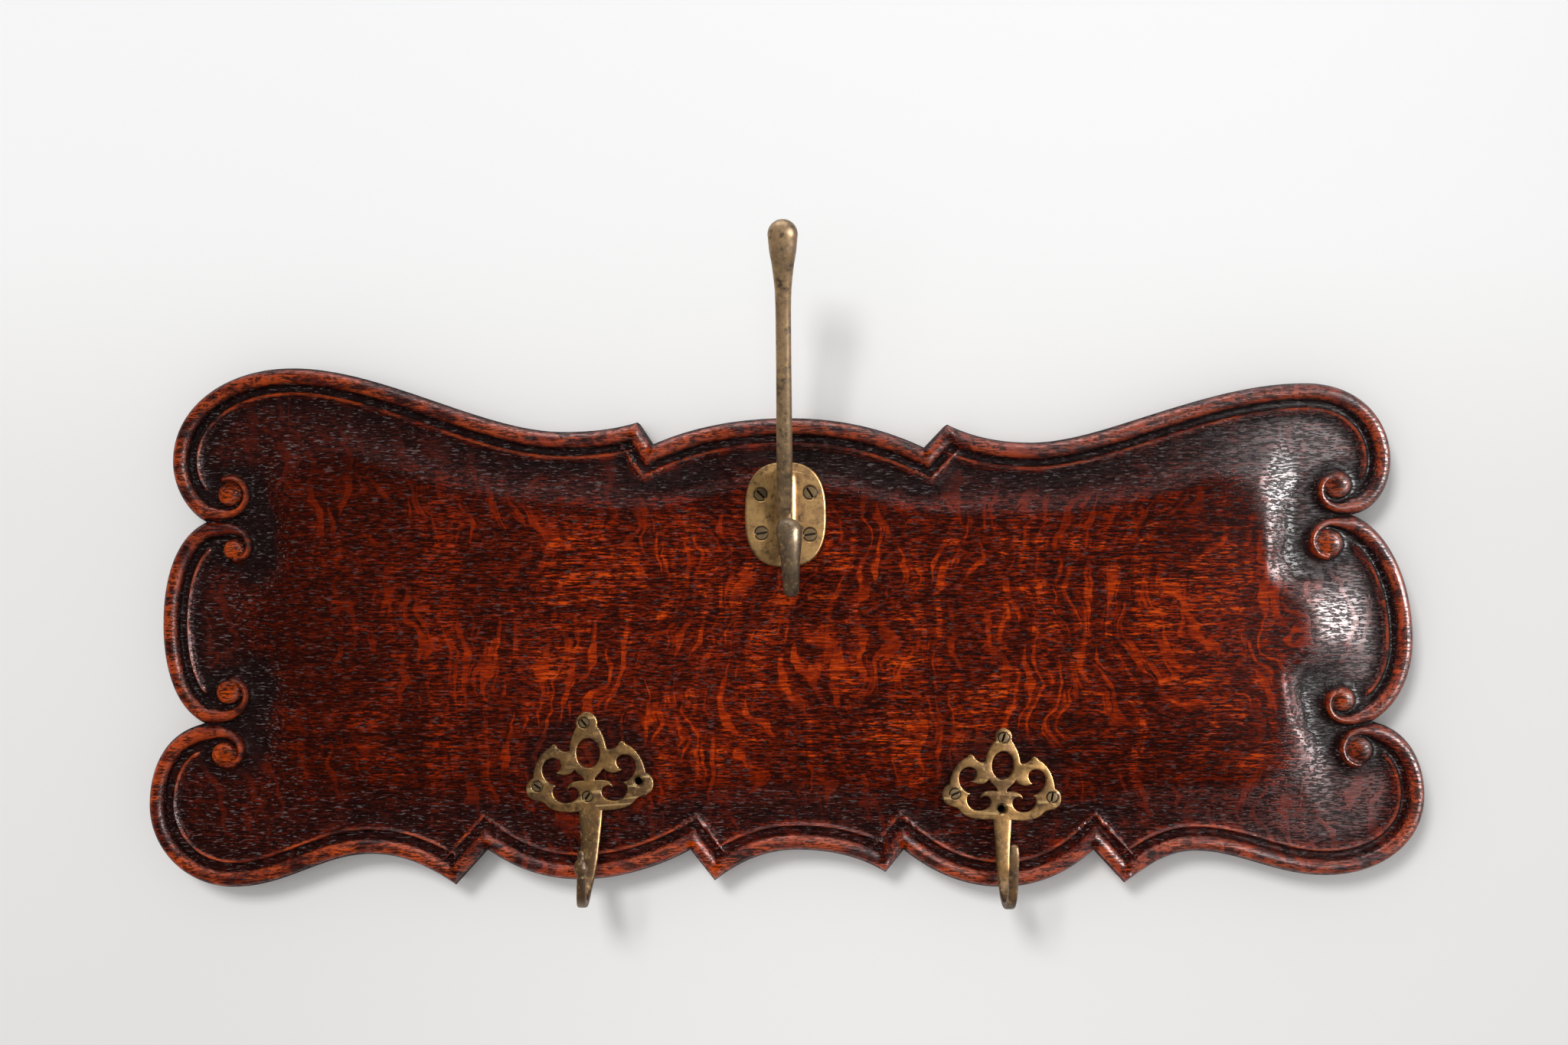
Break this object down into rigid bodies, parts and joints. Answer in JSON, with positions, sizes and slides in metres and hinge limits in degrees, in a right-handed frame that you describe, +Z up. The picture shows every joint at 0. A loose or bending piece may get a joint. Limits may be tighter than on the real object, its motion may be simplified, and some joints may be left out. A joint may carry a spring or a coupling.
{
  "type": "wall coat rack",
  "caption": "Wall coat rack: a carved oak board with a scrolled border, a tall brass hat hook in the middle and a brass coat hook with a pierced plate on each side of it.",
  "frame": {"origin": "centre of the board's flat back face, which lies against the wall", "axes": "+X to the right as seen from the front, along the board; +Y into the wall; +Z up"},
  "size_m": [0.601, 0.0863, 0.3086],
  "materials": {
    "oak": "dark stained and polished, worn orange on the high edges",
    "hook_brass": "aged, satin",
    "screw_brass": "aged, dull"
  },
  "bodies": {
    "root": {"board": "oak", "hat_hook": "hook_brass", "hat_hook_screw_upper_left": "screw_brass", "hat_hook_screw_upper_right": "screw_brass", "hat_hook_screw_lower_left": "screw_brass", "hat_hook_screw_lower_right": "screw_brass", "coat_hook_left": "hook_brass", "coat_hook_left_screw_top": "screw_brass", "coat_hook_left_screw_side": "screw_brass", "coat_hook_left_screw_low": "screw_brass", "coat_hook_right": "hook_brass", "coat_hook_right_screw_top": "screw_brass", "coat_hook_right_screw_left": "screw_brass", "coat_hook_right_screw_right": "screw_brass"}
  },
  "joints": []
}
